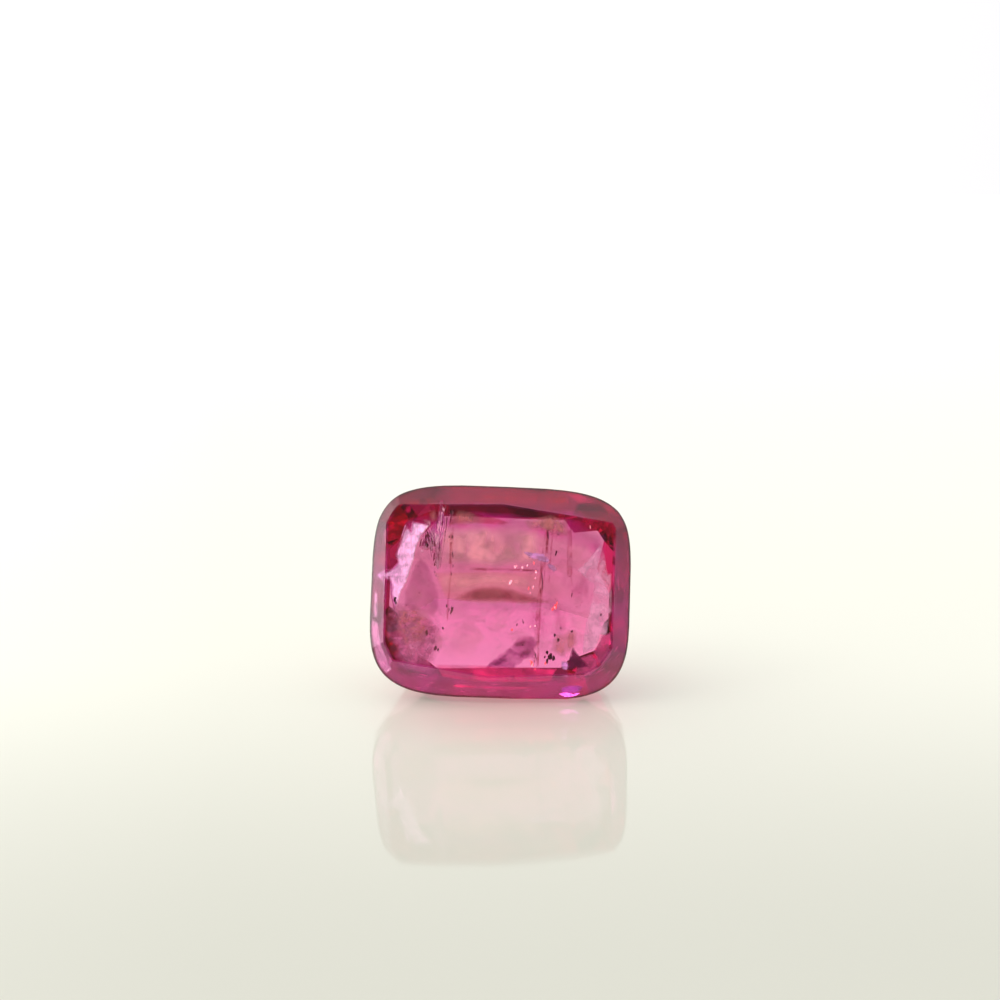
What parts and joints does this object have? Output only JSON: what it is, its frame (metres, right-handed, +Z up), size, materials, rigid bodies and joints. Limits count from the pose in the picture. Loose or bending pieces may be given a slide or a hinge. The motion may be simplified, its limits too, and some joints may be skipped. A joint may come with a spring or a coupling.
{
  "type": "cushion cut ruby gemstone",
  "caption": "Loose faceted pinkish red ruby in a cushion cut: broad flat table, low crown, thick girdle and a deep rounded pavilion with a keel culet, lying on its side",
  "frame": {"origin": "middle of the stone's box in X and Y, on the surface that it lies on", "axes": "+X along the stone's length, +Z up, and the table looks along -Y, 20 degrees up from level"},
  "size_m": [0.008, 0.0052, 0.0063],
  "materials": {
    "ruby": "polished transparent pinkish red corundum with natural inclusions, refractive index 1.765"
  },
  "bodies": {
    "root": {"cushion_cut_ruby": "ruby"}
  },
  "joints": []
}
